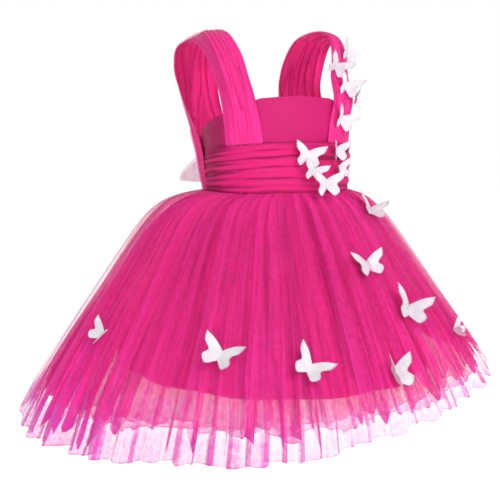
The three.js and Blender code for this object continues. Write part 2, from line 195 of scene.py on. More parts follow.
def grid_faces(rows, columns, ring, start=0, turned=False):
    """Quads over a grid of points that is rows by columns; a ring closes on itself."""
    across = columns if ring else columns - 1
    j, i = np.meshgrid(np.arange(rows - 1), np.arange(across), indexing="ij")
    right = (i + 1) % columns
    upper = j * columns
    lower = upper + columns
    quads = np.stack([upper + i, lower + i, lower + right, upper + right], -1)
    quads = quads.reshape(-1, 4) + start
    return quads[:, ::-1] if turned else quads


def add_object(name, data):
    thing = bpy.data.objects.new(name, data)
    bpy.context.scene.collection.objects.link(thing)
    return thing


def make_mesh(name, points, faces, smooth=True):
    """A piece from points in millimetres and faces."""
    mesh = bpy.data.meshes.new(name)
    mesh.from_pydata((points * MM).tolist(), [], [list(map(int, f)) for f in faces])
    mesh.polygons.foreach_set("use_smooth", [smooth] * len(mesh.polygons))
    mesh.update()
    return add_object(name, mesh)


def set_uv(piece, uv):
    """Flat cloth coordinates in millimetres, one pair for each vertex."""
    layer = piece.data.uv_layers.new(name="cloth")
    loops = np.zeros(len(piece.data.loops), np.int32)
    piece.data.loops.foreach_get("vertex_index", loops)
    layer.data.foreach_set("uv", uv[loops].astype(np.float32).ravel())


def set_attribute(piece, key, values):
    """One number for each vertex, which a material reads."""
    layer = piece.data.attributes.new(key, "FLOAT", "POINT")
    layer.data.foreach_set("value", np.asarray(values, np.float32).ravel())


def flat_coordinates(grid):
    """Distance along the middle row and down each column of a grid, in millimetres."""
    steps = np.linalg.norm(np.diff(grid[len(grid) // 2], axis=0), axis=-1)
    u = np.concatenate([[0], np.cumsum(steps)])
    drops = np.linalg.norm(np.diff(grid, axis=0), axis=-1)
    v = np.pad(np.cumsum(drops, 0), ((1, 0), (0, 0)))
    return np.stack([np.broadcast_to(u - u.mean(), v.shape), v], -1).reshape(-1, 2)


def sheet_mesh(name, grid, gather, painted_shade, ring=False, alone=0):
    """A single sheet. gather: how crowded it is; then the painted shade, deepest in its folds; alone: nothing
    behind it.
    """
    rows, columns = grid.shape[:2]
    piece = make_mesh(name, grid.reshape(-1, 3), grid_faces(rows, columns, ring))
    set_uv(piece, flat_coordinates(grid))
    for key, values in (("gather", gather), ("painted_shade", painted_shade), ("alone", alone)):
        set_attribute(piece, key, np.broadcast_to(values, (rows, columns)))
    return piece


def border_pairs(rows, columns, ring):
    """Neighbours along the border of a grid; a ring has one border above and one below."""
    top = list(range(columns))
    bottom = [(rows - 1) * columns + i for i in reversed(range(columns))]
    right = [j * columns + columns - 1 for j in range(1, rows - 1)]
    left = [j * columns for j in range(rows - 2, 0, -1)]
    loops = [top, bottom] if ring else [top + right + bottom + left]
    return [pair for loop in loops for pair in zip(loop, loop[1:] + loop[:1])]


def shell(inside, outside, ring=False):
    """Points and faces of a thin closed shell between two grids of points."""
    rows, columns = inside.shape[:2]
    count = rows * columns
    edge = [(p, p + count, q + count, q) for p, q in border_pairs(rows, columns, ring)]
    faces = [grid_faces(rows, columns, ring, count), grid_faces(rows, columns, ring, 0, True), edge]
    faces = np.concatenate(faces)
    points = np.concatenate([inside.reshape(-1, 3), outside.reshape(-1, 3)])
    return points, faces


def shell_mesh(name, inside, outside, ring=False):
    """A thin closed shell with flat cloth coordinates."""
    piece = make_mesh(name, *shell(inside, outside, ring))
    flat = flat_coordinates(outside)
    set_uv(piece, np.concatenate([flat, flat]))
    return piece


def finish_piece(piece, material, nodes):
    """Material and body of a piece; it hides the solids that it stands for."""
    piece.data.materials.append(material)
    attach(piece, "root")
    if nodes:
        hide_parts(*nodes)


# Materials

SPECULAR = 0.2
SHEEN_ROUGHNESS = 0.45


def set_inputs(node, **values):
    """Values of a node's inputs; _ stands for a blank in their names."""
    for key, value in values.items():
        node.inputs[key.replace("_", " ")].default_value = value


def new_material(name, colour, roughness, sheen):
    material = bpy.data.materials.new(name)
    material.use_nodes = True
    tree = material.node_tree
    shader = tree.nodes["Principled BSDF"]
    set_inputs(shader, Base_Color=(*colour, 1), Roughness=roughness, Specular_IOR_Level=SPECULAR)
    set_inputs(shader, Sheen_Weight=sheen, Sheen_Roughness=SHEEN_ROUGHNESS)
    return material, tree, shader


def feed(tree, socket, value):
    """Link an output to a socket, or give the socket a number or a colour."""
    if isinstance(value, bpy.types.NodeSocket):
        tree.links.new(value, socket)
    else:
        socket.default_value = value


def math_node(tree, operation, *values):
    node = tree.nodes.new("ShaderNodeMath")
    node.operation = operation
    for socket, value in zip(node.inputs, values):
        feed(tree, socket, value)
    return node.outputs[0]


def product(tree, first, *others):
    for value in others:
        first = math_node(tree, "MULTIPLY", first, value)
    return first


def cloth_axes(tree):
    """Distances across and down the flat cloth, in millimetres."""
    uv = tree.nodes.new("ShaderNodeUVMap")
    uv.uv_map = "cloth"
    split = tree.nodes.new("ShaderNodeSeparateXYZ")
    tree.links.new(uv.outputs[0], split.inputs[0])
    return split.outputs[0], split.outputs[1]


def attribute(tree, name):
    node = tree.nodes.new("ShaderNodeAttribute")
    node.attribute_name = name
    return node.outputs["Fac"]


def noise_node(tree, scale, detail, place=None, roughness=0.5):
    """Soft noise from 0 to 1, over the object unless another place is given."""
    if place is None:
        place = tree.nodes.new("ShaderNodeTexCoord").outputs["Object"]
    node = tree.nodes.new("ShaderNodeTexNoise")
    set_inputs(node, Scale=scale, Detail=detail, Roughness=roughness)
    tree.links.new(place, node.inputs["Vector"])
    return node.outputs[0]


def remap(tree, value, low, high):
    """Spread a value from 0 to 1 over low to high."""
    node = tree.nodes.new("ShaderNodeMapRange")
    set_inputs(node, To_Min=low, To_Max=high)
    tree.links.new(value, node.inputs["Value"])
    return node.outputs[0]


def blend_colours(tree, share, first, second):
    node = tree.nodes.new("ShaderNodeMix")
    node.data_type = "RGBA"
    tree.links.new(share, node.inputs["Factor"])
    for socket, colour in zip([s for s in node.inputs if s.type == "RGBA"], (first, second)):
        feed(tree, socket, (*colour, 1) if isinstance(colour, tuple) else colour)
    return next(s for s in node.outputs if s.type == "RGBA")


def add_bump(tree, shader, height, strength, distance):
    node = tree.nodes.new("ShaderNodeBump")
    set_inputs(node, Strength=strength, Distance=distance)
    tree.links.new(height, node.inputs["Height"])
    tree.links.new(node.outputs[0], shader.inputs["Normal"])


SATIN_SPECULAR = 0.18
# Share of the dark colour that is left in the painted shade beside a strap
SATIN_SHADE = 0.68
# Radians of the twill's wave per millimetre
TWILL = 12.0


def satin(name, dark, light):
    """Matte satin: a fine twill bump, a slow change of tone, and painted shade in the hollow beside a strap.
    """
    material, tree, shader = new_material(name, light, roughness=0.5, sheen=0.03)
    set_inputs(shader, Specular_IOR_Level=SATIN_SPECULAR)
    tones = blend_colours(tree, noise_node(tree, scale=14, detail=3), dark, light)
    # Colour of the painted shade beside a strap
    deep = tuple(SATIN_SHADE * c for c in dark)
    colours = blend_colours(tree, attribute(tree, "painted_shade"), tones, deep)
    tree.links.new(colours, shader.inputs["Base Color"])
    u, v = cloth_axes(tree)
    twill = math_node(tree, "SINE", product(tree, math_node(tree, "ADD", u, v), TWILL))
    add_bump(tree, shader, twill, strength=0.12, distance=0.00005)
    gloss = remap(tree, noise_node(tree, scale=60, detail=2), 0.45, 0.58)
    tree.links.new(gloss, shader.inputs["Roughness"])
    return material


# Net of the tulle: pitch in millimetres, cover of its threads and what a hole takes away
NET = {"pitch": 1.1, "threads": 1.25, "holes": 0.6}
# How often streaks change across and along gathered cloth, per millimetre
STREAKS = {"across": 0.34, "along": 0.014}
# Ranges over which cover and tone change
COVER_CHANGE = {"mottle": (0.45, 1.55), "streaks": (0.4, 1.6)}
TONE_CHANGE = 0.2


def streak_node(tree, u, v, along):
    """Fine uneven lines along the folds of gathered cloth."""
    across, down = (v, u) if along == "u" else (u, v)
    place = tree.nodes.new("ShaderNodeCombineXYZ")
    tree.links.new(product(tree, across, STREAKS["across"]), place.inputs[0])
    tree.links.new(product(tree, down, STREAKS["along"]), place.inputs[1])
    return noise_node(tree, scale=1, detail=3, place=place.outputs[0], roughness=0.6)


def net_node(tree, u, v):
    """Diamond net: high on its threads, low in its holes."""
    waves = []
    for operation in ("ADD", "SUBTRACT"):
        slant = product(tree, math_node(tree, operation, u, v), math.pi / NET["pitch"])
        waves.append(math_node(tree, "SINE", slant))
    holes = math_node(tree, "ABSOLUTE", product(tree, *waves))
    return math_node(tree, "SUBTRACT", NET["threads"], product(tree, holes, NET["holes"]))


def tulle(name, light, dark, cover, sheen, alone, streaks, along):
    """Net cloth: denser where crowded, with painted shade deep in its folds, paler where it hangs alone;
    streaks: how strong the lines along its folds are; along: the axis that they follow."""
    material, tree, shader = new_material(name, light, roughness=0.7, sheen=sheen)
    u, v = cloth_axes(tree)
    threads = net_node(tree, u, v)
    mottle = remap(tree, noise_node(tree, scale=190, detail=4), *COVER_CHANGE["mottle"])
    lines = streak_node(tree, u, v, along)
    streaked = remap(tree, lines, *COVER_CHANGE["streaks"])
    alpha = product(tree, threads, mottle, cover, streaked, attribute(tree, "gather"))
    alpha.node.use_clamp = True
    tree.links.new(alpha, shader.inputs["Alpha"])
    slow = remap(tree, noise_node(tree, scale=26, detail=3), -TONE_CHANGE, TONE_CHANGE)
    # Tone: the painted shade that the sheet carries, a slow random change, and the streaks
    tone = math_node(tree, "ADD", attribute(tree, "painted_shade"), slow)
    tone = math_node(tree, "ADD", tone, remap(tree, lines, -streaks, streaks))
    tone.node.use_clamp = True
    colours = blend_colours(tree, tone, light, dark)
    if alone:
        colours = blend_colours(tree, attribute(tree, "alone"), colours, alone)
    tree.links.new(colours, shader.inputs["Base Color"])
    add_bump(tree, shader, threads, strength=0.1, distance=0.0001)
    return material


def white_cloth(name, colour, blush, white):
    """Stiffened white cloth of the butterflies, with a faint weave and a blush in places."""
    material, tree, shader = new_material(name, colour, roughness=0.6, sheen=0.05)
    share = remap(tree, noise_node(tree, scale=45, detail=3), -0.3, 1.3)
    tree.links.new(blend_colours(tree, share, blush, white), shader.inputs["Base Color"])
    add_bump(tree, shader, noise_node(tree, scale=900, detail=2), strength=0.25, distance=0.0002)
    return material


# Share of its colour that a thread keeps in its dark places
THREAD_SHADE = 0.75


def thread(name, colour):
    material, tree, shader = new_material(name, colour, roughness=0.5, sheen=0.3)
    add_bump(tree, shader, noise_node(tree, scale=2500, detail=1), strength=0.3, distance=0.0001)
    darker = tuple(THREAD_SHADE * c for c in colour)
    tones = blend_colours(tree, noise_node(tree, scale=300, detail=1), darker, colour)
    tree.links.new(tones, shader.inputs["Base Color"])
    return material


PINK_SATIN = satin("bodice_satin", dark=(0.45, 0.006, 0.112), light=(0.52, 0.008, 0.136))
LINING_SATIN = satin("lining_satin", dark=(0.66, 0.008, 0.110), light=(0.76, 0.012, 0.140))
TULLES = table(
    "name light dark cover sheen alone streaks along",
    ("gathered_tulle", (0.90, 0.028, 0.27), (0.46, 0.005, 0.11), 1.9, 0.1, None, 0.6, "v"),
    ("ruched_tulle", (0.63, 0.011, 0.155), (0.26, 0.002, 0.06), 1.9, 0.03, None, 0.5, "u"),
    ("veil_tulle", (0.90, 0.045, 0.36), (0.62, 0.015, 0.20), 0.34, 0.1, None, 0.8, "v"),
    ("inner_tulle", (0.98, 0.025, 0.25), (0.36, 0.002, 0.05), 0.62, 0.05, (0.71, 0.036, 0.44), 1.7, "v"),
    ("middle_tulle", (0.98, 0.028, 0.32), (0.54, 0.005, 0.14), 0.36, 0.05, (0.68, 0.035, 0.34), 1.5, "v"),
    ("outer_tulle", (0.98, 0.046, 0.41), (0.60, 0.012, 0.21), 0.24, 0.1, (0.66, 0.06, 0.42), 1.5, "v"),
    ("bow_tulle", (0.76, 0.13, 0.52), (0.70, 0.03, 0.32), 0.31, 0.1, None, 0.8, "v"),
    ("knot_tulle", (0.86, 0.14, 0.46), (0.68, 0.03, 0.24), 1.0, 0.1, None, 0.8, "v"),
)
GATHERED, RUCHED, VEIL, INNER_TULLE, MIDDLE_TULLE, OUTER_TULLE, BOW_TULLE, KNOT_TULLE = (
    tulle(**row) for row in TULLES
)
BUTTERFLY_CLOTH = white_cloth(
    "white_cloth", colour=(0.74, 0.73, 0.76), blush=(0.58, 0.49, 0.57), white=(0.76, 0.75, 0.77),
)
PINK_THREAD = thread("pink_thread", (0.72, 0.03, 0.20))
WHITE_THREAD = thread("white_thread", (0.85, 0.80, 0.83))


# Sewing

# Length, pitch and width of a stitch; how high its top, sides and underside stand, in half widths
STITCH = {"long": 2.6, "pitch": 3.6, "wide": 0.55, "top": 1.3, "flank": 0.3, "under": 0.4}


def point_at(distance, place, line):
    return np.array([np.interp(distance, place, line[:, axis]) for axis in range(3)])


def stitches(name, lines, material):
    """Running stitches along lines of points, each with its outward directions, as raised lozenges."""
    points, faces = [], []
    for line, outward in lines:
        steps = np.linalg.norm(np.diff(line, axis=0), axis=1)
        place = np.concatenate([[0], np.cumsum(steps)])
        for k in range(int(place[-1] // STITCH["pitch"])):
            middle = (k + 0.5) * STITCH["pitch"]
            a, b, c = (point_at(middle + STITCH["long"] * part, place, line) for part in (-0.5, 0, 0.5))
            up = unit(point_at(middle, place, outward))
            side = unit(np.cross(c - a, up)) * STITCH["wide"] / 2
            lift = up * STITCH["wide"] / 2
            start = len(points)
            flanks = [b + side + STITCH["flank"] * lift, b - side + STITCH["flank"] * lift]
            points += [a, c, *flanks, b + STITCH["top"] * lift, b - STITCH["under"] * lift]
            for p, q in ((2, 4), (4, 3), (3, 5), (5, 2)):
                faces += [(start, start + p, start + q), (start + 1, start + q, start + p)]
    piece = make_mesh(name, np.array(points), faces)
    finish_piece(piece, material, [])


# Bodice

# Rows of points and thickness of the satin; mean radius of a panel, in metres
PANEL = {"rows": 36, "thick": 0.9, "radius": 0.084}
PANELS = table(
    "node from to columns seed",
    ("bodice_front", -90, 90, 120, 41),
    ("bodice_back_left", 90, 180, 60, 43),
    ("bodice_back_right", -180, -90, 60, 47),
)
# Distance of the topstitching below the top edge
TOPSTITCH = 5
# Heights of pulls and creases in the satin, of its rolled edge and of the dent of the topstitching
SATIN_RELIEF = {"pull": 0.35, "crease": 0.3, "roll": 0.35, "dent": 0.18}


def top_edge(angles):
    return np.interp(np.abs(angles), column(TOP_EDGE, "angle"), column(TOP_EDGE, "z"))


def bodice_grid(angles, off, seed):
    """Points of the satin between two angles, with a rolled top edge and faint pulls in the cloth."""
    top = top_edge(angles)
    share = np.linspace(0, 1, PANEL["rows"])[:, None] ** 1.3
    z = mix(top, WAIST["z"] + SEAM / 2, share)
    below = top - z
    pull = SATIN_RELIEF["pull"] * noise(angles / 9 + below / 60, seed) * smoothstep(below, 4, 30)
    crease = SATIN_RELIEF["crease"] * np.sin(angles / 5.5 + below / 11)
    crease = crease * smoothstep(np.abs(angles), 62, 80) * smoothstep(below, 3, 20)
    roll = SATIN_RELIEF["roll"] * np.exp(-((below / 1.5) ** 2))
    dent = SATIN_RELIEF["dent"] * np.exp(-(((below - TOPSTITCH) / 0.8) ** 2))
    return on_body(angles + 0 * z, z, off + pull + crease + (roll - dent))


def bodice_panel(row):
    """A satin panel with its topstitching, and painted shade on it beside the straps."""
    name, start, end = row["node"] + "_cloth", row["from"], row["to"]
    gap = math.degrees(SEAM / 2 / WAIST["half_width"])
    angles = np.linspace(start + gap, end - gap, row["columns"])
    outside = bodice_grid(angles, SATIN, row["seed"])
    inside = bodice_grid(angles, SATIN - PANEL["thick"], row["seed"])
    piece = shell_mesh(name, inside, outside)
    # Painted shade on the sides of the body beside the straps
    beside = smoothstep(np.abs(angles), 56, 64) * (1 - smoothstep(np.abs(angles), 94, 110))
    set_attribute(piece, "painted_shade", np.tile(beside, 2 * PANEL["rows"]))
    finish_piece(piece, PINK_SATIN, [row["node"]])
    line = on_body(angles, top_edge(angles) - TOPSTITCH, SATIN + 0.05)
    stitches("stitches_" + name, [(line, line * (1, 1, 0))], PINK_THREAD)


# Straps

def span(a, b):
    """Root of the distance between points."""
    return np.maximum(np.linalg.norm(b - a, axis=1), TINY)[:, None] ** 0.5


def catmull(points, t):
    """Centripetal curve through a list of points, at shares t of its spans."""
    p = np.array(points, float)
    p = np.concatenate([[2 * p[0] - p[1]], p, [2 * p[-1] - p[-2]]])
    at = np.clip(np.asarray(t) * (len(points) - 1), 0, len(points) - 1 - TINY)
    k = at.astype(int)
    w = (at - k)[:, None]
    x0, x1, x2, x3 = p[k], p[k + 1], p[k + 2], p[k + 3]
    d0, d1, d2 = span(x0, x1), span(x1, x2), span(x2, x3)
    one = ((x1 - x0) / d0 - (x2 - x0) / (d0 + d1) + (x2 - x1) / d1) * d1
    two = ((x2 - x1) / d1 - (x3 - x1) / (d1 + d2) + (x3 - x2) / d2) * d1
    return x1 + one * w + (-3 * x1 + 3 * x2 - 2 * one - two) * w**2 + (2 * x1 - 2 * x2 + one + two) * w**3


def strap_on_body(row):
    """Inner edge, middle and outer edge of the left strap at one height of the body."""
    edges = [row["inner"], (row["inner"] + row["outer"]) / 2, row["outer"]]
    offs = [row["off"], row["off"] + row["puff"], row["off"]]
    return [on_body(np.array(angle, float), row["z"], off) for angle, off in zip(edges, offs)]


def strap_stations():
    """Inner edge, middle and outer edge of the left strap, from the front waist to the back waist."""
    inner = np.array(column(STRAP_LOOP, "inner"), float)
    outer = np.array(column(STRAP_LOOP, "outer"), float)
    middle = (inner + outer) / 2
    along = np.concatenate([[middle[1] - middle[0]], middle[2:] - middle[:-2], [middle[-1] - middle[-2]]])
    crown = np.array(column(STRAP_LOOP, "crown"), float)[:, None]
    raised = middle + unit(np.cross(outer - inner, along)) * crown
    front = [strap_on_body(row) for row in STRAP_FRONT]
    back = [strap_on_body(row) for row in STRAP_BACK]
    return front + list(zip(inner, raised, outer)) + back


STRAP_LINES = [[station[k] for station in strap_stations()] for k in range(3)]


def strap_points(along, across):
    """The smooth left strap: along from the front waist, across from its inner edge."""
    inner, middle, outer = (catmull(line, along)[:, None, :] for line in STRAP_LINES)
    a = np.asarray(across, float)[None, :, None]
    return inner * (1 - a) * (1 - 2 * a) + middle * 4 * a * (1 - a) + outer * a * (2 * a - 1)


def pleats(x, t, count, seed, drift, sharp=0.75):
    """Rounded crests with narrow valleys between, count of them over x from 0 to 1, wandering along t."""
    wander = drift * noise(3.1 * t + 5 * x, seed) + 0.35 * noise(7.3 * t + 9 * x, seed + 1)
    uneven = 0.55 * noise(x * count * 0.6, seed + 2)
    phase = x * count + wander + uneven
    size = 0.62 + 0.38 * noise(np.floor(phase) * 1.7 + 2.2 * t, seed + 3)
    return np.abs(np.sin(np.pi * phase)) ** sharp * size


# Plies of a strap, close and sheer. off: distance off the solid's surface; depth, count: of its pleats
STRAP_PLIES = table(
    "end rows columns off depth count material",
    ("", 170, 96, 0.35, 3.2, 6, GATHERED),
    ("_veil", 150, 72, 1.6, 2.8, 4, VEIL),
)
# Share of their depth that pleats keep at the front waist, and where along the strap they open
STRAP_HELD = {"depth": 0.45, "from": 0.1, "to": 0.18}


def strap(word, side, seed):
    """Gathered tulle strap: a close inner sheet, and a looser sheer one over it."""
    node = "strap_" + word
    mirror = np.array([side, 1, 1])
    for k, ply in enumerate(STRAP_PLIES):
        along = np.linspace(0, 1, ply["rows"])
        across = np.linspace(0, 1, ply["columns"])
        smooth = strap_points(along, across)
        out = normals(smooth)
        t = along[:, None]
        rolled = (1 - np.abs(2 * across[None, :] - 1) ** 9) ** 0.5
        free = mix(STRAP_HELD["depth"], 1, smoothstep(t, STRAP_HELD["from"], STRAP_HELD["to"]))
        crest = pleats(across[None, :], t * 2.2, ply["count"], seed + 10 * k, 0.7, 0.6)
        height = ply["off"] + ply["depth"] * crest * rolled * free
        grid = (smooth + out * height[..., None]) * mirror
        gather = 0.86 + 0.14 * noise(across * 14, seed + 5)[None, :] + 0 * t
        # Painted shade in the valleys between the pleats
        painted_shade = np.clip(0.95 - 1.5 * crest, 0, 1) * free
        if side < 0:
            grid, gather, painted_shade = grid[:, ::-1], gather[:, ::-1], painted_shade[:, ::-1]
        piece = sheet_mesh(node + "_cloth" + ply["end"], grid, gather, painted_shade)
        finish_piece(piece, ply["material"], [node] if k == 0 else [])


# Sash

# Ridges of the sash. at: shares of its height at the right seam, the front and the left seam; half: half
# of the ridge's width as such a share; from, to: the angles between which it runs
SASH_CREASES = table(
    "at depth half from to",
    ((0.04, 0.03, 0.05), 1.6, 0.045, -90, 90),
    ((0.15, 0.10, 0.15), 2.3, 0.060, -90, 62),
    ((0.27, 0.21, 0.25), 2.9, 0.075, -90, 90),
    ((0.39, 0.32, 0.37), 1.9, 0.050, -90, 24),
    ((0.50, 0.40, 0.46), 3.0, 0.080, -90, 90),
    ((0.63, 0.51, 0.60), 2.4, 0.060, -62, 90),
    ((0.71, 0.63, 0.70), 2.7, 0.075, -90, 90),
    ((0.84, 0.78, 0.81), 2.9, 0.085, -90, 90),
    ((0.95, 0.94, 0.94), 1.8, 0.050, -90, 90),
)
# Angle over which a ridge that ends in mid-cloth fades out
RIDGE_FADE = 30


def sash():
    """Ruched sash between the side seams: long soft ridges that close up at both ends."""
    limit = 90 - math.degrees(SEAM / WAIST["half_width"])
    angles = np.linspace(-limit, limit, 220)[None, :]
    share = np.linspace(0, 1, 110)[:, None]
    a = np.abs(angles)
    top = mix(SASH["front_top"], SASH["side_top"], (a / 90) ** 2)
    z = mix(top, WAIST["z"] + SEAM, share)
    over = smoothstep(a, UNDER_SASH["from"], UNDER_SASH["full_from"])
    over = over * (1 - smoothstep(a, UNDER_SASH["full_to"], UNDER_SASH["to"]))
    across = (angles + 90) / 180
    raised = 0 * z
    for k, crease in enumerate(SASH_CREASES):
        line = np.interp(across, (0, 0.5, 1), crease["at"])
        line = line + 0.03 * noise(across * 5, 31 + k) + 0.011 * noise(across * 13, 51 + k)
        begin = smoothstep(angles, crease["from"] - 1, crease["from"] + RIDGE_FADE)
        begin = np.maximum(begin, float(crease["from"] <= -90))
        end = 1 - smoothstep(angles, crease["to"] - RIDGE_FADE, crease["to"] + 1)
        end = np.maximum(end, float(crease["to"] >= 90))
        body = np.clip(1 - np.abs(share - line) / crease["half"], 0, 1)
        raised = np.maximum(raised, crease["depth"] * begin * end * body**0.7)
    fine = 0.35 * pleats(share, across * 2.5, 17, 61, 0.9, 0.9)
    edge = (1 - np.abs(2 * share - 1) ** 12) ** 0.5
    off = SASH["off"] + SASH["strap_room"] * over + 0.3 + (0.75 * raised + fine) * edge
    grid = on_body(angles + 0 * z, z, off)
    gather = 0.95 + 0.05 * noise(share * 9, 77) + 0 * angles
    # Painted shade between the ridges and towards the side seams, with a random change
    beside = smoothstep(a, 38, 80)
    painted_shade = np.clip(0.95 - raised / 1.5 + 0.2 * noise(across * 6 + share * 5, 83) + beside, 0, 1)
    piece = sheet_mesh("sash_cloth", grid, gather, painted_shade)
    finish_piece(piece, RUCHED, ["sash_front"])


# Skirt

def skirt_wall(section, depth):
    """Half width, half depth and set-back of a skirt solid at a depth below the waist."""
    turned = HEM_TURN["rate"] * np.maximum(0, depth - HEM_TURN["from"]) ** 2
    eased = 1 - np.exp(-depth / section["ease"])
    out = section["start"] + section["slope"] * depth + section["flare"] * eased - turned
    narrower = (WAIST["half_width"] - WAIST["half_depth"]) * np.exp(-depth / ROUND_BELOW)
    return WAIST["half_width"] + out, WAIST["half_width"] + out - narrower, section["shift"] * eased


def wave_depth(angle):
    return sum(w["depth"] * np.cos(w["count"] * angle + w["phase"]) for w in WAVES)


def hem_height(section, angle):
    """Height of the hem of a skirt solid, which dips towards one side."""
    return section["hem"] - section["dip"] * np.cos(angle - math.radians(section["lowest"]))


def skirt_points(section, angle, depth, out):
    half_width, half_depth, back = skirt_wall(section, depth)
    x = (half_width + out) * np.sin(angle)
    y = back - (half_depth + out) * np.cos(angle)
    return stack(x, y, WAIST["z"] - SEAM / 2 - depth)


# Satin underskirt: grid, thickness, and where the row of hem stitches runs as a share of the rows
LINING_CLOTH = {"columns": 240, "rows": 44, "thick": 0.7, "stitched": 0.955}


def lining():
    """Satin underskirt: a smooth bell with a sewn hem."""
    angle = np.linspace(0, 2 * math.pi, LINING_CLOTH["columns"], endpoint=False)[None, :]
    turn = angle / (2 * math.pi)
    share = np.linspace(0, 1, LINING_CLOTH["rows"])[:, None] ** 1.2
    depth = (WAIST["z"] - hem_height(LINING, angle)) * share
    grown = depth / FULL_DEPTH
    ripple = 4.5 * grown * np.cos(12 * angle + 0.8 * ring_noise(turn, 6, 4))
    ripple = ripple + 1.2 * ring_noise(turn, 40, 5) * grown
    gathers = 0.5 * ring_noise(turn, 90, 6) * np.exp(-depth / 20)
    outside = skirt_points(LINING, angle, depth, ripple + gathers)
    inside = skirt_points(LINING, angle, depth, ripple + gathers - LINING_CLOTH["thick"])
    piece = shell_mesh("lining_cloth", inside, outside, ring=True)
    finish_piece(piece, LINING_SATIN, ["skirt_lining"])
    line = outside[int(LINING_CLOTH["rows"] * LINING_CLOTH["stitched"])]
    closed = np.concatenate([line, line[:1]])
    stitches("stitches_lining_hem", [(closed, closed * (1, 1, 0))], PINK_THREAD)


# Tulle sheets of the skirt, one in each column, from the inside to the outside
TULLE_COLUMNS = {
    "name": ("short_tulle_lower", "short_tulle_upper", "long_tulle_lower", "long_tulle_upper"),
    "node": ("skirt_tulle_short", None, "skirt_tulle_long", None),
    "section": (SHORT, SHORT, LONG, LONG),
    "material": (INNER_TULLE, INNER_TULLE, MIDDLE_TULLE, OUTER_TULLE),
    "seed": (11, 23, 37, 53),
    "columns": (1200, 1200, 1440, 1440),
    # Distance inside the surface of the solid
    "inset": (5, -1, 7, 0),
    # Folds: number, depth, how far their flanks double back, painted shade beside their sharp edges
    "folds": (60, 44, 50, 42),
    "depth": (4, 6.5, 6, 6.5),
    "overlap": (0.7, 0.9, 0.9, 0.8),
    "laps": (0.3, 1.4, 0.3, 0.9),
    # Bunched strips: cells that hold one, least and most share of a cell, how much denser they are
    "strips": (80, 96, 78, 84),
    "narrow": (0.1, 0.1, 0.14, 0.06),
    "wide": (0.5, 0.5, 0.66, 0.4),
    "denser": (0.5, 0.7, 1.9, 0.9),
    # Hem: how much higher than that of the solid, how uneven, how much lower a strip hangs
    "hem": (5, 0, 36, -2),
    "jag": (4, 5, 9, 3),
    "spike": (3, 6, 40, 3),
    # Where the colour pales, from above the hem of the layer behind to below it, as shares of the full
    # depth, and how much denser the net hangs there
    "alone": ((-0.04, 0.03), (-0.04, 0.03), (-0.08, 0.03), (-0.08, 0.03)),
    "hanging": (-0.12, -0.08, 0.6, 1.1),
}
TULLE_SHEETS = table(" ".join(TULLE_COLUMNS), *zip(*TULLE_COLUMNS.values()))
SKIRT_ROWS = 34
# Share of a sheet's height where its raw edge begins, and how much denser it is
RAW_EDGE = {"at": 0.994, "denser": 0.7}
# Share of the cells that hold a strip, and how far a strip may lie off the middle of its cell
STRIPS_FILLED = 0.88
STRIPS_SCATTER = 0.7
# Width of the painted shade beside the sharp edge of a fold, as a share of the fold
LAP_SHADE = 0.2
# How much denser the tulle hangs at its side seams
SIDE_GATHERS = 0.5
# How pale the lower part of a sheet is even with cloth behind it
PALE_BASE = 0.2
# Slant length of a sheet per metre of its height
SLANT = 1.2


def bunched_strips(turn, row):
    """Closeness to the middle of a bunched strip, from 0 at its edge to 1, and that strip's own length."""
    count, seed = row["strips"], row["seed"]
    near = np.zeros(np.shape(turn))
    length = np.zeros(np.shape(turn))
    for step in (-1, 0, 1):
        cell = np.floor(turn * count) + step
        k = cell % count
        middle = (cell + 0.5 + STRIPS_SCATTER * (scatter(k, seed + 20) - 0.5)) / count
        half = mix(row["narrow"], row["wide"], scatter(k, seed + 21) ** 2) / count
        close = np.clip(1 - np.abs(turn - middle) / half, 0, 1) * (scatter(k, seed + 22) < STRIPS_FILLED)
        length = np.where(close > near, 0.45 + 0.55 * scatter(k, seed + 23), length)
        near = np.maximum(near, close)
    return near, length


